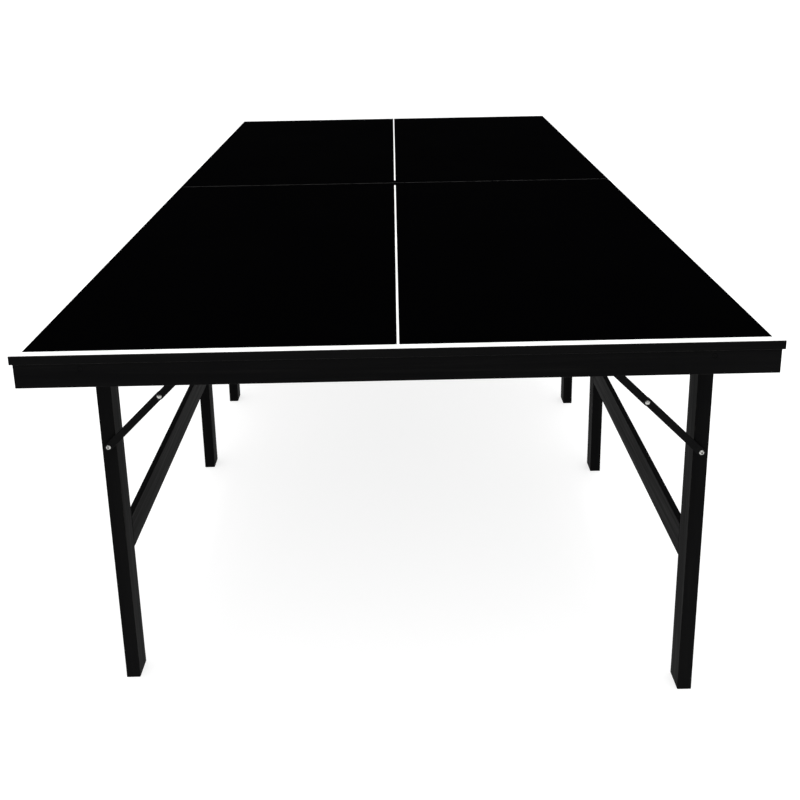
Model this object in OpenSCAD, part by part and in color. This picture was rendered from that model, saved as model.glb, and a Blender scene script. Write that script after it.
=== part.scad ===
// Folding table tennis table: two identical halves that stand end to end on four folding leg frames.
// Units are millimetres. +Z is up, +Y runs along the table, and the origin is on the floor at its centre.

/* [Table] */
// Width across the playing surface
table_w = 1220; // [1000:10:1525]
// Length of one half, from the end line to the join
half_l = 1100; // [1050:10:1370]
// Height of the playing surface above the floor
table_h = 760; // [700:5:800]
// Thickness of the board
board_t = 15; // [9:1:25]

/* [Lines] */
// Width of the white end line and side lines
edge_line_w = 16; // [10:1:20]
// Width of the white centre line
centre_line_w = 4; // [3:1:6]
// How far the centre line stops short of the join
centre_line_gap = 28; // [0:1:60]
// Depth of the paint, which is level with the board
line_t = 0.3; // [0.2:0.1:0.6]

/* [Apron] */
// Height of the rails under the board
rail_h = 42; // [30:1:60]
// Thickness of the rails
rail_t = 18; // [12:1:30]
// Overhang of the board past the end and side rails
board_overhang = 4; // [0:1:10]
// Setback of the join rail from the join
join_setback = 2; // [1:1:6]

/* [Leg frames] */
// Leg size across the table
leg_w = 27; // [20:1:40]
// Leg size along the table
leg_d = 42; // [30:1:60]
// From the table's centre line to the outer face of the legs
leg_outer_x = 543; // [480:1:560]
// From the end of the half to the front face of the outer leg, on the side set nearer the end
near_set = 113; // [100:1:150]
// How much further from the end the other side's frame stands, so that folded legs lie side by side
frame_stagger = 60; // [50:1:80]
// Distance from the outer leg's front face to the inner leg's front face
leg_pitch = 744; // [600:1:760]
// Height of the stretcher's lower edge above the floor
stretcher_z = 262; // [200:1:320]
// Height of the stretcher
stretcher_h = 66; // [40:1:90]
// Thickness of the stretcher
stretcher_t = 12; // [10:1:20]
// Radius of the dowels in the stretcher's ends
dowel_r = 3; // [2:0.5:4]
// Length of each dowel
dowel_l = 40; // [30:1:50]

/* [Hinges] */
// Length of the hinge blocks across the table
block_w = 108; // [80:1:120]
// Height of the hinge blocks
block_h = 36; // [30:1:38]
// Radius of the pivot bolts
pivot_r = 4; // [3:0.5:5]
// Length of a pivot bolt's thread in its block
pivot_hold = 45; // [30:1:70]

/* [Braces] */
// Height of the brace bolt above the floor
brace_z = 502; // [480:1:520]
// Slope of the straight brace
brace_angle = 45; // [44:1:46]
// Lower bar, from the brace bolt to the knuckle
lower_l = 144; // [143:1:145]
// Upper bar, from the knuckle to the bracket
upper_l = 154; // [153:1:155]
// Width of the bars
bar_w = 14; // [12:1:16]
// Thickness of the bars
bar_t = 3; // [2:0.5:4]
// Radius of the rivet and bolt heads
head_r = 4.5; // [4:0.5:5.5]
// Radius of the rivets and the brace bolt
rivet_r = 3; // [2:0.5:3.5]

/* [Hidden] */
$fn = 64;

// The frame on a half's -X side stands further from its end than the one on its +X side.
set_in = -1;
set_out = 1;

board_z = table_h - board_t;
rail_z = board_z - rail_h;
rail_x = table_w / 2 - board_overhang;
end_y = board_overhang;
join_y = half_l - join_setback - rail_t;
leg_x = leg_outer_x - leg_w / 2;
// The leg's round top turns under the board with this gap
top_gap = 0.5;
pivot_z = board_z - top_gap - leg_w / 2;
side_gap = 0.5;
running_gap = 0.05;
block_x = rail_x - rail_t - block_w;
bolt_head_t = 5;
bolt_head_r = 8;

// Layers of a brace, measured forwards from the leg's front face
washer_t = 2;
washer_r = 7.5;
bar_gap = 0.1;
open_gap = 0.3;
tail_t = 1.2;
dome_t = 2.2;
lower_back = washer_t + bar_gap;
lower_front = lower_back + bar_t;
// The upper bar lies in front of the brace bolt's head, so that it can pass over it
upper_back = lower_front + bar_gap + dome_t + open_gap;
upper_front = upper_back + bar_t;
brace_bolt_l = 30;

knuckle_in = lower_l * cos(brace_angle);
knuckle_z = brace_z + lower_l * sin(brace_angle);
bracket_in = (lower_l + upper_l) * cos(brace_angle);
bracket_z = brace_z + (lower_l + upper_l) * sin(brace_angle);
tab_w = 16;
plate_w = 26;
plate_l = 28;
plate_t = 3;

screw_r = 2;
screw_head_r = 3.5;
screw_head_t = 1.5;
screw_sink = 0.4;
rail_screw_x = 500;
rail_screw_z = 735;
rail_screw_l = 45;
plate_screw_l = 10;

black_board = "#050506";
black_wood = "#151517";
black_steel = "#0b0b0d";
raw_wood = "#b08d5c";
paint_white = "#f2f2f0";
zinc = "#b9bbb8";

function leg_front(side) = near_set + (side == set_in ? frame_stagger : 0);
function inner_front(side) = leg_front(side) + leg_pitch;

// A half is drawn from its end at y = 0 towards the join.
module near_half() { translate([0, -half_l, 0]) children(); }
module far_half() { rotate([0, 0, 180]) near_half() children(); }

// Cylinder along +Y from the point p
module rod(p, r, l) { translate(p) rotate([-90, 0, 0]) cylinder(r = r, h = l); }

// Low domed head whose flat side is at p and whose crown points along -Y
module dome(p, r, h) {
  ball_r = (r * r + h * h) / (2 * h);
  translate(p) rotate([90, 0, 0]) rotate_extrude() intersection() {
    translate([0, h - ball_r]) circle(r = ball_r, $fn = 128);
    square([r, h]);
  }
}

// Box from its low corner to its high corner
module block(low, high) { translate(low) cube(high - low); }

module line_shapes() {
  z = table_h - line_t;
  union() {
    block([-table_w / 2, 0, z], [table_w / 2, edge_line_w, table_h]);
    block([-table_w / 2, 0, z], [-table_w / 2 + edge_line_w, half_l, table_h]);
    block([table_w / 2 - edge_line_w, 0, z], [table_w / 2, half_l, table_h]);
    block([-centre_line_w / 2, 0, z], [centre_line_w / 2, half_l - centre_line_gap, table_h]);
  }
}

module board() {
  color(black_board) difference() {
    block([-table_w / 2, 0, board_z], [table_w / 2, half_l, table_h]);
    line_shapes();
    for (side = [set_in, set_out]) plate_screws(side);
  }
}

module court_lines() { color(paint_white) line_shapes(); }

module end_rail() {
  color(black_wood) difference() {
    block([-rail_x, end_y, rail_z], [rail_x, end_y + rail_t, board_z]);
    rail_screws(end_y, 1, screw_sink);
  }
}

module join_rail() {
  color(black_wood) difference() {
    block([-rail_x, join_y, rail_z], [rail_x, join_y + rail_t, board_z]);
    rail_screws(join_y + rail_t, -1, screw_sink);
  }
}

module side_rail(side) {
  x = side > 0 ? rail_x - rail_t : -rail_x;
  color(black_wood) block([x, end_y + rail_t, rail_z], [x + rail_t, join_y, board_z]);
}

// One block from the end rail to the outer leg, and one from the inner leg to the join rail, on each side
module hinge_blocks() {
  color(black_wood) difference() {
    for (side = [set_in, set_out]) {
      x = side > 0 ? block_x : -block_x - block_w;
      z = board_z - block_h;
      block([x, end_y + rail_t, z], [x + block_w, leg_front(side) - side_gap, board_z]);
      block([x, inner_front(side) + leg_d + side_gap, z], [x + block_w, join_y, board_z]);
    }
    pivot_bolt_shapes();
    rail_screws(end_y, 1, 0);
    rail_screws(join_y + rail_t, -1, 0);
  }
}

// Two screws driven through a rail into its hinge blocks; dir is the way they point along Y
module rail_screws(face_y, dir, clear) {
  for (side = [set_in, set_out]) {
    translate([side * rail_screw_x, face_y, rail_screw_z]) rotate([-90 * dir, 0, 0]) {
      translate([0, 0, screw_sink - clear]) cylinder(r = screw_head_r, h = screw_head_t + clear);
      translate([0, 0, screw_sink]) cylinder(r = screw_r, h = rail_screw_l);
    }
  }
}

// Two screws that hold a brace bracket under the board
module plate_screws(side) {
  for (step = [-1, 1]) {
    x = side * (leg_x - bracket_in) + step * 7;
    y = leg_front(side) - lower_back - plate_l + 8;
    translate([x, y, board_z - plate_t - screw_head_t]) cylinder(r = screw_head_r, h = screw_head_t);
    translate([x, y, board_z - plate_t - screw_head_t]) cylinder(r = screw_r, h = plate_screw_l);
  }
}

module screws() {
  color(black_steel) {
    rail_screws(end_y, 1, 0);
    rail_screws(join_y + rail_t, -1, 0);
    for (side = [set_in, set_out]) plate_screws(side);
  }
}

// Bolts along Y through the round top of each leg into its hinge block
module pivot_bolt_shapes() {
  for (side = [set_in, set_out]) {
    outer = leg_front(side);
    inner = inner_front(side);
    reach = leg_d + side_gap * 2 + pivot_hold;
    rod([side * leg_x, outer - side_gap - pivot_hold, pivot_z], pivot_r, reach);
    rod([side * leg_x, outer + leg_d + side_gap, pivot_z], bolt_head_r, bolt_head_t);
    rod([side * leg_x, inner - side_gap, pivot_z], pivot_r, reach);
    rod([side * leg_x, inner - side_gap - bolt_head_t, pivot_z], bolt_head_r, bolt_head_t);
  }
}

module pivot_bolts() { color(zinc) pivot_bolt_shapes(); }

module leg(side, front) {
  difference() {
    union() {
      block([side * leg_x - leg_w / 2, front, 0], [side * leg_x + leg_w / 2, front + leg_d, pivot_z]);
      rod([side * leg_x, front, pivot_z], leg_w / 2, leg_d);
    }
    rod([side * leg_x, front - 1, pivot_z], pivot_r + running_gap, leg_d + 2);
    dowel_shapes(side);
  }
}

module outer_leg(side) {
  color(black_wood) difference() {
    leg(side, leg_front(side));
    rod([side * leg_x, leg_front(side) - 1, brace_z], rivet_r, brace_bolt_l + 1);
  }
}

module inner_leg(side) { color(black_wood) leg(side, inner_front(side)); }

module stretcher(side) {
  x = side * (leg_outer_x - leg_w + stretcher_t / 2);
  low = [x - stretcher_t / 2, leg_front(side) + leg_d, stretcher_z];
  high = [x + stretcher_t / 2, inner_front(side), stretcher_z + stretcher_h];
  color(black_wood) difference() {
    block(low, high);
    dowel_shapes(side);
  }
}

// Two hidden dowels in each end of the stretcher, half in the leg and half in the stretcher
module dowel_shapes(side) {
  x = side * (leg_outer_x - leg_w + stretcher_t / 2);
  for (joint_y = [leg_front(side) + leg_d, inner_front(side)]) {
    for (part = [1 / 4, 3 / 4]) {
      rod([x, joint_y - dowel_l / 2, stretcher_z + stretcher_h * part], dowel_r, dowel_l);
    }
  }
}

module dowels(side) { color(raw_wood) dowel_shapes(side); }

// Flat bar with round ends between two points in the XZ plane, from back to front of its layer
module bar(side, start, stop, back, front, start_hole, stop_hole) {
  y = leg_front(side) - front;
  t = front - back;
  r = bar_w / 2;
  length = norm(stop - start);
  slope = side > 0 ? 180 - brace_angle : brace_angle;
  start_end = [for (a = [90:6:270]) [r * cos(a), r * sin(a)]];
  stop_end = [for (a = [-90:6:90]) [length + r * cos(a), r * sin(a)]];
  difference() {
    translate([side * start[0], y + t, start[1]])
      rotate([90, 0, 0]) rotate([0, 0, slope]) linear_extrude(t) polygon(concat(start_end, stop_end));
    rod([side * start[0], y - 1, start[1]], start_hole, t + 2);
    rod([side * stop[0], y - 1, stop[1]], stop_hole, t + 2);
  }
}

bolt_at = [leg_x, brace_z];
knuckle_at = [leg_x - knuckle_in, knuckle_z];
bracket_at = [leg_x - bracket_in, bracket_z];

module lower_bar(side) {
  color(black_steel)
    bar(side, bolt_at, knuckle_at, lower_back, lower_front, rivet_r + running_gap, rivet_r);
}

module upper_bar(side) {
  color(black_steel)
    bar(side, knuckle_at, bracket_at, upper_back, upper_front, rivet_r, rivet_r + running_gap);
}

// Bolt that holds the lower bar to the outer leg, with its washer
module brace_bolt(side) {
  x = side * leg_x;
  front = leg_front(side);
  head_y = front - lower_front - bar_gap;
  color(zinc) {
    difference() {
      dome([x, head_y, brace_z], head_r, dome_t);
      rod([x, head_y - dome_t, brace_z], 1.2, 1.2);
    }
    rod([x, head_y, brace_z], rivet_r, lower_front + bar_gap + brace_bolt_l);
    difference() {
      rod([x, front - washer_t, brace_z], washer_r, washer_t);
      rod([x, front - washer_t - 1, brace_z], rivet_r + 0.2, washer_t + 2);
    }
  }
}

// Front half of the knuckle rivet, fixed in the upper bar, with the spacer that holds the bars apart
module knuckle_rivet(side) {
  x = side * knuckle_at[0];
  front = leg_front(side);
  color(zinc) {
    dome([x, front - upper_front, knuckle_z], head_r, dome_t);
    rod([x, front - upper_front, knuckle_z], rivet_r, bar_t);
    rod([x, front - upper_back, knuckle_z], head_r, upper_back - lower_front - open_gap);
  }
}

// Back half of the knuckle rivet, fixed in the lower bar
module knuckle_tail(side) {
  x = side * knuckle_at[0];
  front = leg_front(side);
  color(zinc) {
    rod([x, front - lower_front, knuckle_z], rivet_r, bar_t);
    rod([x, front - lower_back, knuckle_z], head_r, tail_t);
  }
}

// Steel angle under the board: a plate screwed to it and a tab that holds the upper bar
module brace_brackets() {
  color(black_steel) for (side = [set_in, set_out]) {
    x = side * bracket_at[0];
    back = leg_front(side) - lower_back;
    difference() {
      union() {
        block([x - plate_w / 2, back - plate_l, board_z - plate_t], [x + plate_w / 2, back, board_z]);
        block([x - tab_w / 2, back - bar_t, bracket_z], [x + tab_w / 2, back, board_z]);
        rod([x, back - bar_t, bracket_z], tab_w / 2, bar_t);
      }
      rod([x, back - bar_t - 1, bracket_z], rivet_r, bar_t + 2);
      plate_screws(side);
    }
  }
}

// Rivets through the upper bars and the brackets' tabs, with a spacer between the two
module bracket_rivets() {
  color(zinc) for (side = [set_in, set_out]) {
    x = side * bracket_at[0];
    front = leg_front(side);
    head_y = front - upper_front - bar_gap;
    dome([x, head_y, bracket_z], head_r, dome_t);
    rod([x, head_y, bracket_z], rivet_r, upper_front + bar_gap - lower_back);
    rod([x, front - upper_back + bar_gap, bracket_z], head_r, upper_back - bar_gap - lower_front);
    rod([x, front - lower_back, bracket_z], head_r, tail_t);
  }
}

near_half() board();  // near_board
near_half() court_lines();  // near_court_lines
near_half() end_rail();  // near_end_rail
near_half() join_rail();  // near_join_rail
near_half() side_rail(set_in);  // near_left_rail
near_half() side_rail(set_out);  // near_right_rail
near_half() hinge_blocks();  // near_hinge_blocks
near_half() screws();  // near_screws
near_half() pivot_bolts();  // near_pivot_bolts
near_half() brace_brackets();  // near_brace_brackets
near_half() bracket_rivets();  // near_bracket_rivets
far_half() board();  // far_board
far_half() court_lines();  // far_court_lines
far_half() end_rail();  // far_end_rail
far_half() join_rail();  // far_join_rail
far_half() side_rail(set_out);  // far_left_rail
far_half() side_rail(set_in);  // far_right_rail
far_half() hinge_blocks();  // far_hinge_blocks
far_half() screws();  // far_screws
far_half() pivot_bolts();  // far_pivot_bolts
far_half() brace_brackets();  // far_brace_brackets
far_half() bracket_rivets();  // far_bracket_rivets
near_half() outer_leg(set_in);  // near_left_outer_leg
near_half() inner_leg(set_in);  // near_left_inner_leg
near_half() stretcher(set_in);  // near_left_stretcher
near_half() dowels(set_in);  // near_left_dowels
near_half() brace_bolt(set_in);  // near_left_brace_bolt
near_half() lower_bar(set_in);  // near_left_lower_bar
near_half() upper_bar(set_in);  // near_left_upper_bar
near_half() knuckle_rivet(set_in);  // near_left_knuckle_rivet
near_half() knuckle_tail(set_in);  // near_left_knuckle_tail
near_half() outer_leg(set_out);  // near_right_outer_leg
near_half() inner_leg(set_out);  // near_right_inner_leg
near_half() stretcher(set_out);  // near_right_stretcher
near_half() dowels(set_out);  // near_right_dowels
near_half() brace_bolt(set_out);  // near_right_brace_bolt
near_half() lower_bar(set_out);  // near_right_lower_bar
near_half() upper_bar(set_out);  // near_right_upper_bar
near_half() knuckle_rivet(set_out);  // near_right_knuckle_rivet
near_half() knuckle_tail(set_out);  // near_right_knuckle_tail
far_half() outer_leg(set_out);  // far_left_outer_leg
far_half() inner_leg(set_out);  // far_left_inner_leg
far_half() stretcher(set_out);  // far_left_stretcher
far_half() dowels(set_out);  // far_left_dowels
far_half() brace_bolt(set_out);  // far_left_brace_bolt
far_half() lower_bar(set_out);  // far_left_lower_bar
far_half() upper_bar(set_out);  // far_left_upper_bar
far_half() knuckle_rivet(set_out);  // far_left_knuckle_rivet
far_half() knuckle_tail(set_out);  // far_left_knuckle_tail
far_half() outer_leg(set_in);  // far_right_outer_leg
far_half() inner_leg(set_in);  // far_right_inner_leg
far_half() stretcher(set_in);  // far_right_stretcher
far_half() dowels(set_in);  // far_right_dowels
far_half() brace_bolt(set_in);  // far_right_brace_bolt
far_half() lower_bar(set_in);  // far_right_lower_bar
far_half() upper_bar(set_in);  // far_right_upper_bar
far_half() knuckle_rivet(set_in);  // far_right_knuckle_rivet
far_half() knuckle_tail(set_in);  // far_right_knuckle_tail
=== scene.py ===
import math

import bmesh
import bpy
from mathutils import Matrix, Vector, noise


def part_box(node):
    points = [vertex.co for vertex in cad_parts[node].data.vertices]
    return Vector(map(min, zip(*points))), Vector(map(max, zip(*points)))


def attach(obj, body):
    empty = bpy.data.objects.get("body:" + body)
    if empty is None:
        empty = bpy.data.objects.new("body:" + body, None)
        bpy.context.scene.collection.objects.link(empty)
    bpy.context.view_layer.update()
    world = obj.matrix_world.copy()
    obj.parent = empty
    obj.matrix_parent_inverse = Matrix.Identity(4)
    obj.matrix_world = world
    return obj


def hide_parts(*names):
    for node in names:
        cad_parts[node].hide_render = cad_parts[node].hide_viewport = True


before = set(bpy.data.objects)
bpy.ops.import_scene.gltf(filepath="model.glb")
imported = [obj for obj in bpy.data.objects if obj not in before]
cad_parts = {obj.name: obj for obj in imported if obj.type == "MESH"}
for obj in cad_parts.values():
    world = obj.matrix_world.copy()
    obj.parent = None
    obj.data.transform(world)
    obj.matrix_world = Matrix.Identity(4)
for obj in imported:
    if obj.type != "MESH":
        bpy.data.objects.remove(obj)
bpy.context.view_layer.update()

HALVES = ("near", "far")
FRAMES = ("near_left", "near_right", "far_left", "far_right")
MM = 0.001


# ---------------------------------------------------------------- materials

def material(name, colour, roughness, specular, metallic=0.0):
    """A Principled material, and the parts that its maps are linked to."""
    m = bpy.data.materials.new(name)
    m.use_nodes = True
    m.diffuse_color = (*colour, 1)
    tree = m.node_tree
    shader = next(n for n in tree.nodes if n.type == "BSDF_PRINCIPLED")
    shader.inputs["Base Color"].default_value = (*colour, 1)
    shader.inputs["Roughness"].default_value = roughness
    shader.inputs["Specular IOR Level"].default_value = specular
    shader.inputs["Metallic"].default_value = metallic
    return m, tree, shader


def node(tree, kind, **values):
    """A new node: keys that name an attribute set it, and the others set inputs."""
    made = tree.nodes.new("ShaderNode" + kind)
    for key, value in values.items():
        if hasattr(made, key):
            setattr(made, key, value)
        else:
            made.inputs[key.replace("_", " ").title()].default_value = value
    return made


def place(tree, scale):
    """The piece's own coordinates, stretched by scale along X, Y and Z."""
    where = node(tree, "TexCoord")
    mapping = node(tree, "Mapping")
    mapping.inputs["Scale"].default_value = scale
    tree.links.new(where.outputs["Object"], mapping.inputs["Vector"])
    return mapping.outputs["Vector"]


def speckle(tree, vector, scale, detail=4.0, roughness=0.6):
    made = node(tree, "TexNoise")
    made.inputs["Scale"].default_value = scale
    made.inputs["Detail"].default_value = detail
    made.inputs["Roughness"].default_value = roughness
    tree.links.new(vector, made.inputs["Vector"])
    return made.outputs["Fac"]


def spread(tree, value, low, high, start, stop):
    """value between low and high, taken to a value between start and stop."""
    made = node(tree, "MapRange")
    for key, number in zip(("From Min", "From Max", "To Min", "To Max"), (low, high, start, stop)):
        made.inputs[key].default_value = number
    tree.links.new(value, made.inputs["Value"])
    return made.outputs["Result"]


def times(tree, a, b):
    made = node(tree, "Math", operation="MULTIPLY")
    tree.links.new(a, made.inputs[0])
    if isinstance(b, float):
        made.inputs[1].default_value = b
    else:
        tree.links.new(b, made.inputs[1])
    return made.outputs[0]


def blend(tree, amount, first, second):
    """A colour between two others; each is a colour or an output."""
    made = node(tree, "Mix", data_type="RGBA")
    tree.links.new(amount, made.inputs[0])
    for socket, colour in ((made.inputs[6], first), (made.inputs[7], second)):
        if isinstance(colour, tuple):
            socket.default_value = (*colour, 1)
        else:
            tree.links.new(colour, socket)
    return made.outputs[2]


def bumps(tree, shader, *layers):
    """Stacks bump layers of (height, strength, distance in metres) on the shader's normal."""
    normal = None
    for height, strength, distance in layers:
        made = node(tree, "Bump")
        made.inputs["Strength"].default_value = strength
        made.inputs["Distance"].default_value = distance
        tree.links.new(height, made.inputs["Height"])
        if normal is not None:
            tree.links.new(normal, made.inputs["Normal"])
        normal = made.outputs["Normal"]
    tree.links.new(normal, shader.inputs["Normal"])


def patches(tree, vector, scale, detail, low, high, start=0.0, stop=1.0, roughness=0.6):
    """Noise whose values between low and high are taken to values between start and stop."""
    return spread(tree, speckle(tree, vector, scale, detail, roughness), low, high, start, stop)


def coat(tree, shader, colour, roughness):
    """Links a material's maps of colour and roughness."""
    tree.links.new(colour, shader.inputs["Base Color"])
    tree.links.new(roughness, shader.inputs["Roughness"])


ARRIS_MARK_BLEND = 0.07


def arris_wear_and_highlight(tree, vector, scale, share):
    """Where paint has rubbed off the arrises, and on the board a painted highlight too: the mesh's arris
    attribute, broken up by noise.
    """
    arris = node(tree, "Attribute", attribute_name="arris")
    low, high = share - ARRIS_MARK_BLEND, share + ARRIS_MARK_BLEND
    arris_patches = patches(tree, vector, scale, 6.0, low, high, 1.0, 0.0, roughness=0.7)
    return times(tree, arris.outputs["Fac"], arris_patches)


def playing_surface():
    """Fibreboard under matt black paint: orange peel, faint dust, ball scuffs, and arrises paled by wear and
    a painted highlight.
    """
    m, tree, shader = material("black_board", (0.0003, 0.0003, 0.0004), 0.8, 0.002)
    here = place(tree, (1, 1, 1))
    dust = patches(tree, here, 3.2, 5.0, 0.46, 0.8, 0.0, 0.4, roughness=0.62)
    scuffs = patches(tree, place(tree, (34, 9, 20)), 1.6, 7.0, 0.68, 0.82, 0.0, 0.3, roughness=0.7)
    colour = blend(tree, dust, (0.0002, 0.0002, 0.0003), (0.0005, 0.0005, 0.0006))
    colour = blend(tree, scuffs, colour, (0.0009, 0.0009, 0.0010))
    # Pale arrises in patches: partly worn paint, partly a painted highlight, which also makes the join
    # between the halves show.
    colour = blend(tree, arris_wear_and_highlight(tree, here, 60, 0.58), colour, (0.085, 0.084, 0.082))
    coat(tree, shader, colour, patches(tree, here, 5.0, 3.0, 0.3, 0.7, 0.78, 0.84))
    peel = speckle(tree, here, 420, 2.0, 0.5)
    felt = speckle(tree, here, 1700, 3.0, 0.6)
    bumps(tree, shader, (peel, 0.07, 0.0003), (felt, 0.10, 0.0001))
    return m


def painted_wood(axis):
    """Black stain paint over softwood with its grain along axis: open grain, brush marks, bare arrises."""
    m, tree, shader = material("black_wood_" + "xyz"[axis], (0.0026, 0.0026, 0.0028), 0.66, 0.026)
    along = [150.0] * 3
    along[axis] = 3.2
    broad = [26.0] * 3
    broad[axis] = 1.1
    here = place(tree, (1, 1, 1))
    grain = speckle(tree, place(tree, along), 1.0, 5.0, 0.62)
    rings = speckle(tree, place(tree, broad), 1.0, 4.0, 0.55)
    patchy = patches(tree, here, 9.0, 4.0, 0.3, 0.7)
    colour = blend(tree, spread(tree, rings, 0.32, 0.68, 0.0, 1.0),
                   (0.0018, 0.0018, 0.0020), (0.0038, 0.0038, 0.0039))
    colour = blend(tree, spread(tree, grain, 0.5, 0.72, 0.0, 0.65), colour, (0.0066, 0.0065, 0.0064))
    colour = blend(tree, times(tree, patchy, 0.4), colour, (0.0016, 0.0017, 0.0019))
    colour = blend(tree, arris_wear_and_highlight(tree, here, 85, 0.42), colour, (0.016, 0.0145, 0.0125))
    coat(tree, shader, colour, spread(tree, grain, 0.3, 0.7, 0.5, 0.74))
    fibres = speckle(tree, here, 900, 2.0)
    bumps(tree, shader, (rings, 0.35, 0.0007), (grain, 0.45, 0.0003), (fibres, 0.12, 0.0001))
    return m


def line_paint():
    """White line enamel, rolled on thinly: slight tint and gloss changes, a few grey rubs."""
    m, tree, shader = material("white_line", (0.88, 0.88, 0.875), 0.45, 0.35)
    here = place(tree, (1, 1, 1))
    tint = patches(tree, here, 14.0, 5.0, 0.35, 0.75)
    rubs = patches(tree, place(tree, (120, 120, 60)), 1.0, 6.0, 0.68, 0.8, 0.0, 0.35, roughness=0.7)
    colour = blend(tree, tint, (0.90, 0.90, 0.895), (0.83, 0.83, 0.82))
    colour = blend(tree, rubs, colour, (0.62, 0.62, 0.61))
    coat(tree, shader, colour, patches(tree, here, 30.0, 4.0, 0.3, 0.7, 0.38, 0.55))
    roller, sags = speckle(tree, here, 520, 2.0), speckle(tree, here, 90, 3.0)
    bumps(tree, shader, (roller, 0.15, 0.0002), (sags, 0.08, 0.0004))
    return m


def painted_steel():
    """Strip steel under black powder coat: fine texture, chips on the arrises."""
    m, tree, shader = material("black_steel", (0.0020, 0.0020, 0.0022), 0.55, 0.045)
    here = place(tree, (1, 1, 1))
    mottle = patches(tree, here, 60.0, 5.0, 0.35, 0.7)
    colour = blend(tree, mottle, (0.0014, 0.0014, 0.0016), (0.0028, 0.0028, 0.0030))
    colour = blend(tree, arris_wear_and_highlight(tree, here, 260, 0.40), colour, (0.04, 0.039, 0.038))
    coat(tree, shader, colour, patches(tree, here, 130.0, 4.0, 0.3, 0.7, 0.42, 0.6))
    texture, waves = speckle(tree, here, 1500, 2.0), speckle(tree, here, 160, 3.0)
    bumps(tree, shader, (texture, 0.3, 0.0002), (waves, 0.1, 0.0005))
    return m


def zinc_plate():
    """Zinc-plated steel: a faint spangle, brushed marks and painted shade, near black, in the hollows."""
    m, tree, shader = material("zinc", (0.60, 0.60, 0.58), 0.36, 0.5, 1.0)
    here = place(tree, (1, 1, 1))
    spangle = patches(tree, here, 380.0, 4.0, 0.35, 0.7)
    colour = blend(tree, spangle, (0.58, 0.58, 0.56), (0.36, 0.36, 0.345))
    painted_hollow_shade = node(tree, "Attribute", attribute_name="painted_hollow_shade")
    # Painted shade: points marked as lying in a recess or dimple are painted near black.
    colour = blend(tree, painted_hollow_shade.outputs["Fac"], colour, (0.03, 0.028, 0.025))
    coat(tree, shader, colour, patches(tree, here, 700.0, 4.0, 0.3, 0.7, 0.28, 0.48))
    brushed = speckle(tree, place(tree, (2600, 2600, 500)), 1.0, 3.0)
    bumps(tree, shader, (brushed, 0.15, 0.0001), (speckle(tree, here, 900, 2.0), 0.12, 0.0001))
    return m


def bare_beech():
    """Turned beech dowel."""
    m, tree, shader = material("raw_wood", (0.42, 0.27, 0.13), 0.6, 0.35)
    grain = speckle(tree, place(tree, (900, 60, 900)), 1.0, 5.0)
    colour = blend(tree, spread(tree, grain, 0.35, 0.7, 0.0, 1.0), (0.46, 0.30, 0.15), (0.30, 0.18, 0.08))
    coat(tree, shader, colour, spread(tree, grain, 0.3, 0.7, 0.5, 0.7))
    bumps(tree, shader, (grain, 0.3, 0.0002))
    return m


BOARD = playing_surface()
WOOD = [painted_wood(axis) for axis in range(3)]
LINE = line_paint()
STEEL = painted_steel()
ZINC = zinc_plate()
BEECH = bare_beech()


# ------------------------------------------------------------ mesh builders

SHARPEST_MITRE = 0.3


def grow(outline, distance):
    """The outline, counter-clockwise, with each side moved outwards by distance."""
    moved = []
    count = len(outline)
    for i, here in enumerate(outline):
        before = (here - outline[i - 1]).normalized()
        after = (outline[(i + 1) % count] - here).normalized()
        out_before = Vector((before.y, -before.x))
        out_after = Vector((after.y, -after.x))
        middle = (out_before + out_after).normalized()
        moved.append(here + middle * distance / max(middle.dot(out_before), SHARPEST_MITRE))
    return moved


def eased(outline, low, high, r, steps=3):
    """Rings of a solid with the outline, from low to high, whose arrises are rounded to the radius r.
    Each ring is (outline, height, share of the way round the arris)."""
    rings = []
    for k in range(steps + 1):
        turn = math.pi / 2 * k / steps
        inset, rise = r * (1 - math.sin(turn)), r * (1 - math.cos(turn))
        rings.append((grow(outline, -inset), low + rise, math.sin(2 * turn)))
    return rings + [(ring, high - (height - low), share) for ring, height, share in reversed(rings)]


def skin(name, rings, to_world, corners=()):
    """A closed mesh from stacked rings of points. corners are the outline's own rounded points."""
    mesh = bpy.data.meshes.new(name)
    points, faces, arris = [], [], []
    count = len(rings[0][0])
    first, last = rings[0][1], rings[-1][1]
    for outline, height, share in rings:
        for i, p in enumerate(outline):
            points.append(to_world(p.x, p.y, height))
            # A flat cap takes its value from its rim, so the outline's corners count only between the caps.
            arris.append(max(share, 1.0 if i in corners and first < height < last else 0.0))
    for k in range(len(rings) - 1):
        for i in range(count):
            j = (i + 1) % count
            faces.append((k * count + i, k * count + j, (k + 1) * count + j, (k + 1) * count + i))
    faces.append(tuple(reversed(range(count))))
    faces.append(tuple((len(rings) - 1) * count + i for i in range(count)))
    mesh.from_pydata(points, [], faces)
    mesh.attributes.new("arris", "FLOAT", "POINT").data.foreach_set("value", arris)
    return tidy(mesh)


def tidy(mesh):
    """Normals outwards, and smooth shading."""
    work = bmesh.new()
    work.from_mesh(mesh)
    bmesh.ops.recalc_face_normals(work, faces=work.faces)
    work.to_mesh(mesh)
    work.free()
    mesh.shade_smooth()
    return mesh


# How an outline's (u, v) and its height lie in the frame: the outline is across X, Y or Z.
ALONG_X = lambda u, v, w: (w, u, v)
ALONG_Y = lambda u, v, w: (v, w, u)
ALONG_Z = lambda u, v, w: (u, v, w)
ACROSS = (ALONG_X, ALONG_Y, ALONG_Z)
# Legs and bars: (u, v) is (Z, X) and the height is along Y.
ALONG_LEG = ALONG_Y


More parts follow.
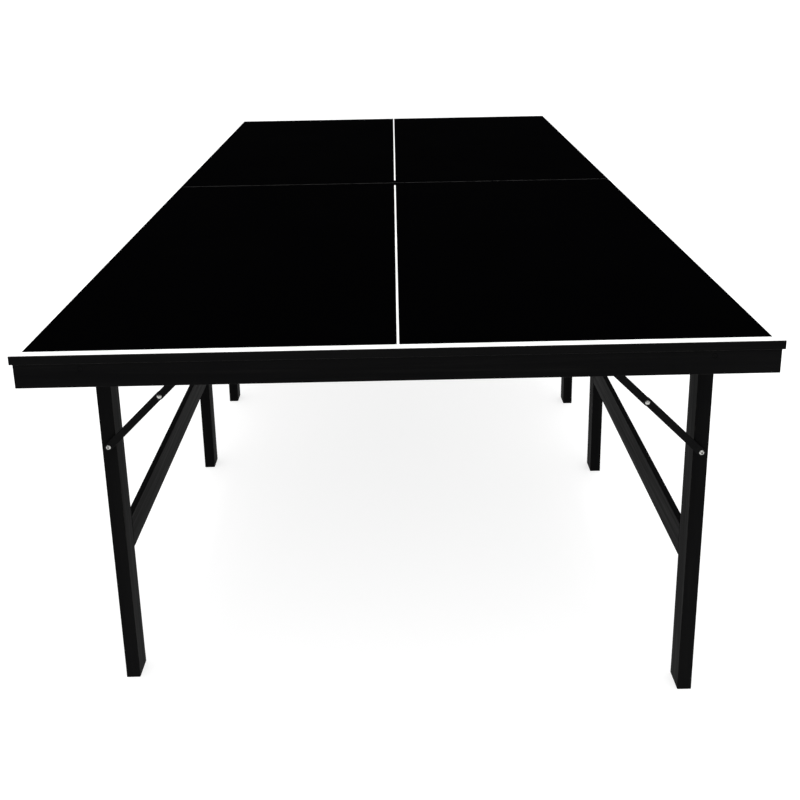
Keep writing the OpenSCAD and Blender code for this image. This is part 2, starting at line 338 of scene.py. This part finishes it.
def piece(name, mesh, finish, body, *nodes):
    """One visible piece of the object, which rides on body and stands for nodes."""
    made = bpy.data.objects.new(name, mesh)
    bpy.context.scene.collection.objects.link(made)
    mesh.materials.clear()
    mesh.materials.append(finish)
    even = made.modifiers.new("even", "WEIGHTED_NORMAL")
    even.keep_sharp = True
    even.weight = 90
    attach(made, body)
    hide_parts(*nodes)
    return made


def wander(p, amount, scale, seed=0.0):
    """A smooth, repeatable value from 0 to amount for a point."""
    return amount * (0.5 + 0.5 * noise.noise(Vector(p) * scale + Vector((seed, 3.1 * seed, 7.7))))


def arc(centre, r, start, sweep, steps):
    """Points on an arc that starts at start degrees and goes on for sweep degrees."""
    turns = [math.radians(start + sweep * k / steps) for k in range(steps + 1)]
    return [Vector((centre[0] + r * math.cos(a), centre[1] + r * math.sin(a))) for a in turns]


def round_rect(low, high, r, pitch, steps=3):
    """A rectangle with rounded corners, counter-clockwise, and which of its points are on a corner's turn.
    pitch is the greatest distance between points along the straight sides."""
    (x0, y0), (x1, y1) = low, high
    corners = ((x1 - r, y0 + r, -90), (x1 - r, y1 - r, 0), (x0 + r, y1 - r, 90), (x0 + r, y0 + r, 180))
    side_ends = ((x1, y1 - r), (x0 + r, y1), (x0, y0 + r), (x1 - r, y0))
    points, turned = [], set()
    for (cx, cy, start), end in zip(corners, side_ends):
        turned |= {len(points) + k for k in range(1, steps)}
        points += arc((cx, cy), r, start, 90, steps)
        here = points[-1]
        span = Vector(end) - here
        extra = int(span.length / pitch)
        points += [here + span * i / (extra + 1) for i in range(1, extra + 1)]
    return points, turned


STATION = 0.03


def plank(name, low, high, axis, body, *nodes, r, rough, seed):
    """A length of planed timber along axis, with eased arrises and faces that aren't quite flat.
    r and rough, in mm, are the arris's radius and the depth of the unevenness."""
    a, b = [(1, 2), (2, 0), (0, 1)][axis]
    r *= MM
    widest = max(high[a] - low[a], high[b] - low[b])
    outline, turned = round_rect((low[a], low[b]), (high[a], high[b]), r, pitch=widest / 4)
    rings = eased(outline, low[axis], high[axis], r)
    middle = len(rings) // 2
    start, stop = rings[middle - 1][1], rings[middle][1]
    count = max(2, int((stop - start) / STATION))
    extra = [(outline, start + (stop - start) * i / count, 0.0) for i in range(1, count)]
    rings = rings[:middle] + extra + rings[middle:]
    centre = Vector(((low[a] + high[a]) / 2, (low[b] + high[b]) / 2))
    half = Vector(((high[a] - low[a]) / 2, (high[b] - low[b]) / 2))
    uneven = []
    for ring, height, share in rings:
        moved = []
        for p in ring:
            where = ACROSS[axis](p.x, p.y, height)
            shrink = wander(where, rough * MM, 7.0, seed)
            away = p - centre
            moved.append(centre + Vector((away.x * (1 - shrink / half.x), away.y * (1 - shrink / half.y))))
        uneven.append((moved, height, share))
    return piece(name, skin(name, uneven, ACROSS[axis], turned), WOOD[axis], body, *nodes)


def lathe(name, profile, at, flip, steps=28, painted_hollow_shade=()):
    """A solid turned about an axis along Y through at. profile is (radius, distance along -Y * flip) from
    the crown outwards, in mm. The last argument lists the profile points that lie in a dimple; the zinc
    finish paints them dark as shade."""
    mesh = bpy.data.meshes.new(name)
    points, faces, shade_marks = [], [], []
    for i, (r, t) in enumerate(profile):
        for k in range(steps):
            a = 2 * math.pi * k / steps
            points.append((at[0] + r * MM * math.cos(a), at[1] - flip * t * MM, at[2] + r * MM * math.sin(a)))
            shade_marks.append(1.0 if i in painted_hollow_shade else 0.0)
    for i in range(len(profile) - 1):
        for k in range(steps):
            j = (k + 1) % steps
            faces.append((i * steps + k, i * steps + j, (i + 1) * steps + j, (i + 1) * steps + k))
    faces.append(tuple(range(steps)))
    faces.append(tuple((len(profile) - 1) * steps + k for k in range(steps)))
    mesh.from_pydata(points, [], faces)
    mesh.attributes.new("painted_hollow_shade", "FLOAT", "POINT").data.foreach_set("value", shade_marks)
    return tidy(mesh)


DOME_STEPS = 6


def dome(r, h, depth):
    """Profile of a low dome of radius r and height h on a flat at depth, from the crown outwards."""
    ball = (r * r + h * h) / (2 * h)
    edge = math.asin(min(1.0, r / ball))
    turns = [edge * k / DOME_STEPS for k in range(1, DOME_STEPS + 1)]
    return [(ball * math.sin(a), depth - h + ball * (1 - math.cos(a))) for a in turns]


def cut(target, cutters):
    """Takes the cutters out of target for good, and deletes them."""
    for cutter in cutters:
        step = target.modifiers.new("cut", "BOOLEAN")
        step.operation = "DIFFERENCE"
        step.solver = "EXACT"
        step.object = cutter
        target.modifiers.move(len(target.modifiers) - 1, 0)
    bpy.context.view_layer.update()
    for m in target.modifiers:
        m.show_viewport = m.type == "BOOLEAN"
    graph = bpy.context.evaluated_depsgraph_get()
    graph.update()
    cleaned = bpy.data.meshes.new_from_object(target.evaluated_get(graph))
    for m in list(target.modifiers):
        if m.type == "BOOLEAN":
            target.modifiers.remove(m)
        else:
            m.show_viewport = True
    target.data = cleaned
    for cutter in cutters:
        bpy.data.objects.remove(cutter, do_unlink=True)


def loose(mesh):
    """A cutter that isn't a piece."""
    made = bpy.data.objects.new(mesh.name, mesh)
    bpy.context.scene.collection.objects.link(made)
    return made


def solids(name):
    """The boxes of a CAD node's separate solids, as (low, high), ordered by their centres' X, Y and Z."""
    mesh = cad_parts[name].data
    group = list(range(len(mesh.vertices)))

    def root(i):
        while group[i] != i:
            group[i] = group[group[i]]
            i = group[i]
        return i

    at = {}
    for v in mesh.vertices:
        key = tuple(round(c * 1e6) for c in v.co)
        if key in at:
            group[root(v.index)] = root(at[key])
        else:
            at[key] = v.index
    for e in mesh.edges:
        group[root(e.vertices[0])] = root(e.vertices[1])
    found = {}
    for v in mesh.vertices:
        found.setdefault(root(v.index), []).append(v.co)
    boxes = [tuple(Vector([end(c[i] for c in cs) for i in range(3)]) for end in (min, max))
             for cs in found.values()]
    return sorted(boxes, key=lambda b: tuple(round(c, 4) for c in (b[0] + b[1]) / 2))


# ------------------------------------------------------------------- camera

scene = bpy.context.scene
camera = bpy.data.objects.new("camera", bpy.data.cameras.new("camera"))
scene.collection.objects.link(camera)
scene.camera = camera
camera.data.sensor_width = 36
camera.data.lens = 39.391
camera.data.shift_y = -0.2725
camera.data.clip_end = 400
RIGHT = Vector((0.999791, -0.010283, -0.017695))
UP = Vector((0.019617, 0.235012, 0.971794))
BACK = Vector((-0.005835, -0.971938, 0.235165))
EYE = (0.00008, -2.36894, 1.33490)
camera.matrix_world = Matrix.Translation(EYE) @ Matrix((RIGHT, UP, BACK)).transposed().to_4x4()


# ---------------------------------------------------- boards, lines, aprons

PAINT = 0.22 * MM
BOARD_CORNER = 1.6 * MM
BOARD_ARRIS = 0.9 * MM
EDGE_LINE, HALF_CENTRE_LINE, CENTRE_GAP = 16 * MM, 2 * MM, 28 * MM
LINE_PITCH = 0.012
LINE_EASE = 0.08 * MM


def board(half):
    """The slab, a paint film's thickness below the top of the lines. Its sawn edges are painted like the
    apron."""
    low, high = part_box(half + "_board")
    outline, turned = round_rect((low.x, low.y), (high.x, high.y), BOARD_CORNER, pitch=0.05, steps=4)
    rings = eased(outline, low.z, high.z - PAINT, BOARD_ARRIS, steps=4)
    mesh = skin(half + "_board_panel", rings, ALONG_Z, turned)
    made = piece(half + "_board_panel", mesh, BOARD, half + "_half", half + "_board")
    made.data.materials.append(WOOD[0])
    made.data.materials.append(WOOD[1])
    for face in made.data.polygons:
        if abs(face.normal.z) < 0.7:
            face.material_index = 1 if abs(face.normal.y) > abs(face.normal.x) else 2


def court_lines(half):
    """One film of line paint: end line, both side lines and centre line, with a slightly ragged edge."""
    low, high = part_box(half + "_court_lines")
    wide, thin, gap = EDGE_LINE, HALF_CENTRE_LINE, CENTRE_GAP
    x0, x1 = low.x + BOARD_ARRIS, high.x - BOARD_ARRIS
    side = 1 if half == "near" else -1
    end, join = (low.y, high.y) if side > 0 else (high.y, low.y)
    end += side * BOARD_ARRIS
    join -= side * 0.5 * MM
    inner = end + side * (wide - BOARD_ARRIS)
    corners = [(x0, end), (x1, end), (x1, join), (high.x - wide, join), (high.x - wide, inner), (thin, inner),
               (thin, join - side * gap), (-thin, join - side * gap), (-thin, inner), (low.x + wide, inner),
               (low.x + wide, join), (x0, join)]
    if side < 0:
        corners.reverse()
    outline = []
    for i, here in enumerate(corners):
        here, after = Vector(here), Vector(corners[(i + 1) % len(corners)])
        outline.append(here)
        span = after - here
        across = Vector((span.y, -span.x)).normalized()
        count = int(span.length / LINE_PITCH)
        for k in range(1, count + 1):
            p = here + span * k / (count + 1)
            outline.append(p - across * wander((p.x, p.y, 0), 0.22 * MM, 30.0))
    rings = [(outline, high.z - PAINT - 0.05 * MM, 0.0), (outline, high.z - LINE_EASE, 0.0),
             (grow(outline, -LINE_EASE), high.z, 0.0)]
    mesh = skin(half + "_lines", rings, ALONG_Z)
    piece(half + "_lines", mesh, LINE, half + "_half", half + "_court_lines")


def countersink(at, out):
    """A cutter for a screw's seat in a face; out is the way the face looks along Y."""
    return loose(lathe("seat", [(4.3, -1.0), (4.3, 0.0), (3.62, 0.55), (3.62, 1.6)], at, steps=32, flip=-out))


LONG_SCREW = 0.03


def rails(half):
    """The four boards of the apron; those across the table have seats for their screws."""
    for name, axis in (("end_rail", 0), ("join_rail", 0), ("left_rail", 1), ("right_rail", 1)):
        low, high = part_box(f"{half}_{name}")
        made = plank(f"{half}_{name}_board", low, high, axis, half + "_half", f"{half}_{name}",
                     r=1.0, rough=0.08, seed=len(name) + len(half))
        if axis == 1:
            continue
        seats = []
        for screw_low, screw_high in solids(half + "_screws"):
            middle = (screw_low + screw_high) / 2
            crosses = screw_low.y < high.y and screw_high.y > low.y
            beside = low.y - 0.01 < middle.y < high.y + 0.05
            if screw_high.y - screw_low.y > LONG_SCREW and beside and crosses:
                out = -1 if abs(screw_low.y - low.y) < abs(screw_high.y - high.y) else 1
                face = low.y if out < 0 else high.y
                seats.append(countersink((middle.x, face, middle.z), out))
        cut(made, seats)


def blocks(half):
    """The wooden blocks that the leg frames turn on."""
    for i, (low, high) in enumerate(solids(half + "_hinge_blocks")):
        plank(f"{half}_hinge_block_{i}", low, high, 0, half + "_half", half + "_hinge_blocks",
              r=1.5, rough=0.2, seed=i + 2.5)


# ------------------------------------------------------------------- screws

BOX_FACES = [(0, 1, 2, 3), (7, 6, 5, 4), (0, 4, 5, 1), (1, 5, 6, 2), (2, 6, 7, 3), (3, 7, 4, 0)]
RECESS_DEPTH, RECESS_ARM = 1.0, 1.9
COUNTERSUNK = [(0.6, 0.0), (2.6, 0.0), (3.3, 0.06), (3.45, 0.25), (2.1, 1.45), (2.0, 3.0), (1.9, 40.0),
               (0.6, 44.5)]
PAN_HEAD = [(0.6, 0.0)] + dome(3.4, 1.3, 1.35) + [(3.4, 1.5), (2.0, 1.5), (1.9, 8.6), (0.6, 9.9)]


def cross(at, out):
    """Two tapered bars that cut a cross recess into the face at at, which looks along out."""
    made = []
    for turn in (0, 1):
        mesh = bpy.data.meshes.new("cross")
        points = []
        for t, r, w in ((-0.5, RECESS_ARM, 0.42), (RECESS_DEPTH, RECESS_ARM * 0.35, 0.28)):
            for u, v in ((-r, -w), (r, -w), (r, w), (-r, w)):
                u, v = (u, v) if turn == 0 else (-v, u)
                offset = (u, -t * out.y, v) if out.y else (u, v, -t * out.z)
                points.append([c + d * MM for c, d in zip(at, offset)])
        mesh.from_pydata(points, [], BOX_FACES)
        made.append(loose(tidy(mesh)))
    return made


def darken(obj, middle, radius, depth, out):
    """Marks the points of a head that lie down in its recess, for the zinc finish to paint dark as shade."""
    mesh = obj.data
    if "painted_hollow_shade" in mesh.attributes:
        mesh.attributes.remove(mesh.attributes["painted_hollow_shade"])
    crown = max(v.co.dot(out) for v in mesh.vertices)
    values = []
    for v in mesh.vertices:
        away = v.co - middle
        flat = (away - out * away.dot(out)).length
        values.append(1.0 if flat < radius and crown - v.co.dot(out) > depth else 0.0)
    mesh.attributes.new("painted_hollow_shade", "FLOAT", "POINT").data.foreach_set("value", values)


def screws(half):
    """Countersunk screws in the aprons and pan-headed ones in the bracket plates."""
    for i, (low, high) in enumerate(solids(half + "_screws")):
        middle = (low + high) / 2
        name = f"{half}_screw_{i}"
        if high.y - low.y > LONG_SCREW:
            inward = 1 if abs(low.y) > abs(high.y) else -1
            at = (middle.x, low.y if inward > 0 else high.y, middle.z)
            out = Vector((0, -inward, 0))
            mesh = lathe(name, COUNTERSUNK, at, flip=-inward)
        else:
            at = (middle.x, middle.y, low.z)
            out = Vector((0, 0, -1))
            mesh = lathe(name, PAN_HEAD, (0, 0, 0), flip=-1.0)
            mesh.transform(Matrix.Translation(at) @ Matrix.Rotation(math.radians(90), 4, "X"))
        made = piece(name, mesh, STEEL, half + "_half", half + "_screws")
        cut(made, cross(at, out))
        darken(made, Vector(at), 2.0 * MM, 0.25 * MM, out)


# ------------------------------------------------------------------- bolts

BOLT_ACROSS = 13.0
BOLT_SEAT = 5
BOLT_WASHER = [(4.3, 1.3), (7.6, 1.3), (7.9, 1.0), (7.9, 0.1), (7.7, 0.0), (4.3, 0.0)]


def hexagon(across, low, high):
    """Rings of a hexagon bolt head with a domed chamfer at high, in mm along -Y."""
    corner = across / math.sqrt(3)
    rings = []
    flat = across / 2
    for height, reach in ((low, corner - 0.3), (low + 0.3, corner), (high - 1.1, corner),
                          (high - 0.6, corner * 0.965), (high - 0.2, flat * 0.98), (high, flat * 0.9)):
        ring = []
        for k in range(36):
            a = 2 * math.pi * k / 36
            wedge = (a + math.pi / 6) % (math.pi / 3) - math.pi / 6
            side = flat / math.cos(wedge)
            ring.append(Vector((min(side, reach) * math.cos(a), min(side, reach) * math.sin(a))))
        rings.append((ring, height, 0.0))
    return rings


def pivot_bolts(half):
    """Hexagon-headed bolts with a washer; the shank runs through the leg into its block."""
    for i, (low, high) in enumerate(solids(half + "_pivot_bolts")):
        middle = (low + high) / 2
        length = high.y - low.y
        # The head is the widest part: find which end it is at.
        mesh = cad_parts[half + "_pivot_bolts"].data
        wide = [v.co.y for v in mesh.vertices
                if low.y - 1e-5 <= v.co.y <= high.y + 1e-5 and abs(v.co.x - middle.x) < 0.02
                and math.hypot(v.co.x - middle.x, v.co.z - middle.z) > 6 * MM]
        out = 1 if abs(max(wide) - high.y) < abs(min(wide) - low.y) else -1
        face = high.y if out > 0 else low.y
        seat = face - out * BOLT_SEAT * MM
        name = f"{half}_pivot_bolt_{i}"

        def to_world(u, v, w, face=face, out=out, middle=middle):
            return (middle.x + u * MM, face - out * (BOLT_SEAT - w) * MM, middle.z + v * MM)

        at = (middle.x, seat, middle.z)
        reach = length / MM - BOLT_SEAT
        shank = [(3.6, 1.4), (3.9, 1.2), (3.95, -reach * 0.4), (3.9, 1.5 - reach), (2.8, 0.1 - reach)]
        for part, mesh in (("", skin(name, hexagon(BOLT_ACROSS, 1.35, 4.95), to_world)),
                           ("_washer", lathe(name, BOLT_WASHER, at, flip=-out, steps=40)),
                           ("_shank", lathe(name, shank, at, flip=-out, steps=24))):
            piece(name + part, mesh, ZINC, half + "_half", half + "_pivot_bolts")


# ------------------------------------------------------------------ brackets

def brackets(half):
    """Steel angles pressed from strip: a plate under the board, a rounded bend and a round-ended tab."""
    for i, (low, high) in enumerate(solids(half + "_brace_brackets")):
        thick = 3 * MM
        middle = (low.x + high.x) / 2
        # The tab hangs at the plate's edge that is nearer the half's end.
        out = -1 if half == "near" else 1
        tab_y = high.y if half == "near" else low.y
        plate_y = low.y if half == "near" else high.y
        steps = 8
        outer = 4.2 * MM
        # Stations along the outer face, from the plate's free end round the bend to the tab's end:
        # (y, z, normal y, normal z, half width).
        stations = []
        for k in range(9):
            t = k / 8
            w = 13 * MM - (max(0.0, 0.14 - t) ** 2) * 0.09
            y = plate_y + (tab_y - plate_y) * t
            if abs(tab_y - y) > outer:
                stations.append((y, high.z, 0.0, 1.0, w))
        dir_y = 1 if tab_y > plate_y else -1
        for k in range(steps + 1):
            a = math.pi / 2 * k / steps
            stations.append((tab_y - dir_y * outer * (1 - math.sin(a)), high.z - outer * (1 - math.cos(a)),
                             dir_y * math.sin(a), math.cos(a), (13 - 5 * (0.5 - 0.5 * math.cos(2 * a))) * MM))
        tip = low.z
        r = 8 * MM
        for k in range(1, 6):
            z = high.z - outer - (high.z - outer - tip - r) * k / 5
            stations.append((tab_y, z, float(dir_y), 0.0, r))
        for k in range(1, 9):
            a = math.pi / 2 * k / 8
            w = max(r * math.cos(a), 0.9 * MM)
            stations.append((tab_y, tip + r - r * math.sin(a), float(dir_y), 0.0, w))
        ease = 0.35 * MM
        nick = ease * 0.3
        points, faces, arris = [], [], []
        for y, z, ny, nz, w in stations:
            for u, d, edge in ((-w + ease, 0, 0), (w - ease, 0, 0), (w - nick, -nick, 1), (w, -ease, 0),
                               (w, -thick + ease, 0), (w - nick, -thick + nick, 1), (w - ease, -thick, 0),
                               (-w + ease, -thick, 0), (-w + nick, -thick + nick, 1), (-w, -thick + ease, 0),
                               (-w, -ease, 0), (-w + nick, -nick, 1)):
                points.append((middle + u, y + ny * d, z + nz * d))
                arris.append(float(edge))
        n = len(points) // len(stations)
        for k in range(len(stations) - 1):
            for j in range(n):
                m = (j + 1) % n
                faces.append((k * n + j, k * n + m, (k + 1) * n + m, (k + 1) * n + j))
        faces.append(tuple(range(n)))
        faces.append(tuple((len(stations) - 1) * n + j for j in reversed(range(n))))
        mesh = bpy.data.meshes.new("bracket")
        mesh.from_pydata(points, [], faces)
        mesh.attributes.new("arris", "FLOAT", "POINT").data.foreach_set("value", arris)
        piece(f"{half}_bracket_{i}", tidy(mesh), STEEL, half + "_half", half + "_brace_brackets")


# Depths in mm behind the front of a rivet's or bolt's head: the head's own, and the upper bar's back.
HEAD_T = 2.2
BRACKET_BAR_BACK = 5.4
KNUCKLE_BAR_BACK = 5.2
BRACKET_TAB = 7.8
NECK = 3.0


def spacer(front, back, ease):
    """Profile of the collar on a rivet that fills the space from front to back."""
    return [(NECK, front), (4.25, front + 0.02), (4.45, front + 0.2), (4.45, back - ease), (4.25, back)]


def bracket_rivets(half):
    """A domed rivet through the upper bar, a spacer and the bracket's tab, with its upset tail."""
    for i, (low, high) in enumerate(solids(half + "_bracket_rivets")):
        middle = (low + high) / 2
        out = -1 if half == "near" else 1
        face = low.y if out < 0 else high.y
        length = (high.y - low.y) / MM
        profile = [(0.5, 0.02)] + dome(4.4, 2.15, HEAD_T) + [(4.3, 2.3), (NECK, 2.3)]
        profile += spacer(BRACKET_BAR_BACK, BRACKET_TAB, 0.15)
        profile += [(NECK, 7.82), (NECK, length - 1.25), (4.2, length - 1.2), (4.4, length - 0.7),
                    (3.8, length - 0.1), (2.4, length)]
        mesh = lathe("rivet", profile, (middle.x, face, middle.z), flip=out)
        piece(f"{half}_bracket_rivet_{i}", mesh, ZINC, half + "_half", half + "_bracket_rivets")


# ---------------------------------------------------------------- leg frames

LEG_FOOT_R = 2.2 * MM
LEG_ARRIS = 1.3 * MM
FOOT_STEPS, LEG_STEPS, TOP_STEPS = 4, 24, 18
BAR_R = 7 * MM
BAR_END_STEPS, BAR_SIDE_STEPS = 12, 10


def leg(name, body, cad, seed):
    """A leg whose top is turned about its pivot, with eased arrises and a slightly rounded foot."""
    low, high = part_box(cad)
    r = (high.x - low.x) / 2
    foot = LEG_FOOT_R
    centre = (low.x + high.x) / 2
    turn_z = high.z - r
    heights = [low.z + foot + (turn_z - low.z - foot) * k / LEG_STEPS for k in range(1, LEG_STEPS)]
    outline = arc((centre - r + foot, low.z + foot), foot, 180, 90, FOOT_STEPS)
    outline += arc((centre + r - foot, low.z + foot), foot, 270, 90, FOOT_STEPS)
    outline += [Vector((centre + r, z)) for z in heights]
    outline += arc((centre, turn_z), r, 0, 180, TOP_STEPS)
    outline += [Vector((centre - r, z)) for z in reversed(heights)]
    shaped = []
    for x, z in outline:
        if low.z + 0.004 < z < turn_z - 0.01:
            shrink = wander((x, low.y, z), 0.22 * MM, 6.0, seed)
            x -= math.copysign(shrink, x - centre)
        shaped.append(Vector((z, x)))
    # (z, x) turns the other way round from (x, z), so the order is reversed.
    shaped.reverse()
    corners = (k + first for first in (0, FOOT_STEPS + 1) for k in range(1, FOOT_STEPS))
    turned = {len(outline) - 1 - i for i in corners}
    rings = eased(shaped, low.y, high.y, LEG_ARRIS)
    middle = len(rings) // 2
    extra = [(shaped, low.y + (high.y - low.y) * t, 0.0) for t in (0.3, 0.5, 0.7)]
    rings = rings[:middle] + extra + rings[middle:]
    piece(name, skin(name, rings, ALONG_LEG, turned), WOOD[2], body, cad)


def bar(name, body, cad):
    """Flat strip with rounded ends between its two holes."""
    low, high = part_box(cad)
    r = BAR_R
    # The bar's ends are at opposite corners of its box; the frame's side says which.
    rising = (low.x + high.x) / 2 < 0
    a = Vector((low.x + r, low.z + r if rising else high.z - r))
    b = Vector((high.x - r, high.z - r if rising else low.z + r))
    way = (b - a).normalized()
    across = Vector((-way.y, way.x)) * r
    turn = math.degrees(math.atan2(way.y, way.x))
    shares = [k / BAR_SIDE_STEPS for k in range(1, BAR_SIDE_STEPS)]
    outline = arc(b, r, turn - 90, 180, BAR_END_STEPS)
    outline += [b + (a - b) * t + across for t in shares]
    outline += arc(a, r, turn + 90, 180, BAR_END_STEPS)
    outline += [a + (b - a) * t - across for t in shares]
    shaped = [Vector((p.y, p.x)) for p in reversed(outline)]
    rings = eased(shaped, low.y, high.y, 0.45 * MM)
    piece(name, skin(name, rings, ALONG_LEG), STEEL, body, cad)


WASHER_RING = [(3.1, 0.0), (7.2, 0.0), (7.45, -0.25), (7.45, -1.6), (7.2, -1.95), (3.1, -1.95)]


def brace_bolt(frame_name):
    """A domed bolt head with a drilled centre, and a washer behind the bar."""
    body = frame_name + "_frame"
    cad = frame_name + "_brace_bolt"
    out = -1 if frame_name.startswith("near") else 1
    boxes = sorted(solids(cad), key=lambda b: b[1].y - b[0].y)
    (w_low, w_high), (low, high) = boxes[0], boxes[-1]
    middle = (low + high) / 2
    face = low.y if out < 0 else high.y
    length = (high.y - low.y) / MM
    profile = [(0.3, 1.15), (1.2, 1.1), (1.5, 0.5), (1.75, 0.3)]
    profile += [(r, t) for r, t in dome(4.45, 2.1, HEAD_T) if r > 2.0]
    profile += [(4.4, 2.25), (NECK, 2.28), (NECK, length * 0.6), (2.9, length - 1), (2.0, length)]
    # The first three profile points line the drilled centre, which the zinc finish paints dark as shade.
    mesh = lathe("bolt", profile, (middle.x, face, middle.z), flip=out, steps=36, painted_hollow_shade=(0, 1, 2))
    piece(frame_name + "_bolt", mesh, ZINC, body, cad)
    back = w_high.y if out < 0 else w_low.y
    washer = lathe("washer", WASHER_RING, (middle.x, back, middle.z), flip=-out, steps=40)
    piece(frame_name + "_washer", washer, STEEL, body, cad)


def knuckle(frame_name):
    """The knuckle's rivet, in its two halves: the dome and the spacer behind it ride on the upper bar, and
    the tail on the lower one."""
    out = -1 if frame_name.startswith("near") else 1
    for part, body in (("knuckle_rivet", "_upper_bar"), ("knuckle_tail", "_lower_bar")):
        low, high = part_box(f"{frame_name}_{part}")
        middle = (low + high) / 2
        length = (high.y - low.y) / MM
        front, back = (low.y, high.y) if out < 0 else (high.y, low.y)
        if part == "knuckle_rivet":
            profile = [(0.5, 0.02)] + dome(4.45, 2.15, HEAD_T) + [(4.3, 2.28), (NECK, 2.3)]
            profile += spacer(KNUCKLE_BAR_BACK, length, 0.2)
            mesh = lathe("rivet", profile, (middle.x, front, middle.z), flip=out, steps=32)
        else:
            profile = [(2.0, 0.0), (3.7, 0.06), (4.4, 0.5), (4.35, 1.15), (NECK, 1.2), (NECK, length - 0.2),
                       (2.7, length)]
            mesh = lathe("tail", profile, (middle.x, back, middle.z), flip=-out, steps=32)
        piece(f"{frame_name}_{part}_head", mesh, ZINC, frame_name + body, f"{frame_name}_{part}")


for half in HALVES:
    board(half)
    court_lines(half)
    rails(half)
    blocks(half)
    screws(half)
    pivot_bolts(half)
    brackets(half)
    bracket_rivets(half)

for i, name in enumerate(FRAMES):
    body = name + "_frame"
    leg(name + "_outer_leg_post", body, name + "_outer_leg", 1.3 + i)
    leg(name + "_inner_leg_post", body, name + "_inner_leg", 6.1 + i)
    low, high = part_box(name + "_stretcher")
    plank(name + "_stretcher_rail", low, high, 1, body, name + "_stretcher", r=1.1, rough=0.15, seed=11.0 + i)
    brace_bolt(name)
    bar(name + "_lower_strip", name + "_lower_bar", name + "_lower_bar")
    bar(name + "_upper_strip", name + "_upper_bar", name + "_upper_bar")
    knuckle(name)
    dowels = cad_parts[name + "_dowels"]
    for part in dowels.material_slots:
        part.material = BEECH


# ------------------------------------------------------------------- studio

def light(name, at, aim, size, power):
    data = bpy.data.lights.new(name, "AREA")
    data.shape = "RECTANGLE"
    data.size, data.size_y = size
    data.energy = power
    lamp = bpy.data.objects.new(name, data)
    scene.collection.objects.link(lamp)
    lamp.location = at
    lamp.rotation_mode = "QUATERNION"
    lamp.rotation_quaternion = (Vector(aim) - Vector(at)).to_track_quat("-Z", "Y")


floor_mesh = bpy.data.meshes.new("floor")
SPAN = 60.0
floor_corners = [(-SPAN, -SPAN, 0), (SPAN, -SPAN, 0), (SPAN, SPAN, 0), (-SPAN, SPAN, 0)]
floor_mesh.from_pydata(floor_corners, [], [(0, 1, 2, 3)])
floor = bpy.data.objects.new("floor", floor_mesh)
scene.collection.objects.link(floor)
pale, tree, shader = material("floor", (0.38, 0.38, 0.38), 0.9, 0.0)
shader.inputs["Emission Color"].default_value = (1, 1, 1, 1)
shader.inputs["Emission Strength"].default_value = 0.80
floor_mesh.materials.append(pale)

world = bpy.data.worlds.new("studio")
scene.world = world
world.use_nodes = True
nodes, links = world.node_tree.nodes, world.node_tree.links
background = next(n for n in nodes if n.type == "BACKGROUND")
background.inputs["Color"].default_value = (1, 1, 1, 1)
# The room is dim near the horizon and bright overhead, with a plain white cyclorama seen behind the object.
seen = node(world.node_tree, "LightPath").outputs["Is Camera Ray"]
up = node(world.node_tree, "SeparateXYZ")
links.new(node(world.node_tree, "TexCoord").outputs["Generated"], up.inputs["Vector"])
ramp = node(world.node_tree, "MapRange", interpolation_type="SMOOTHSTEP")
for key, number in zip(("From Min", "From Max", "To Min", "To Max"), (0.10, 0.85, 0.02, 1.5)):
    ramp.inputs[key].default_value = number
links.new(up.outputs["Z"], ramp.inputs["Value"])
strength = node(world.node_tree, "Mix", data_type="FLOAT")
links.new(seen, strength.inputs[0])
links.new(ramp.outputs["Result"], strength.inputs[2])
strength.inputs[3].default_value = 1.0
links.new(strength.outputs[0], background.inputs["Strength"])

light("top", (0.0, 0.2, 4.2), (0, 0, 0.7), (3.4, 3.4), 60)
light("front", (1.4, -3.6, 2.6), (0, -0.6, 0.5), (2.2, 1.6), 12)

scene.view_settings.view_transform = "Standard"
scene.view_settings.look = "None"
scene.view_settings.exposure = 0.0
scene.view_settings.gamma = 1.0
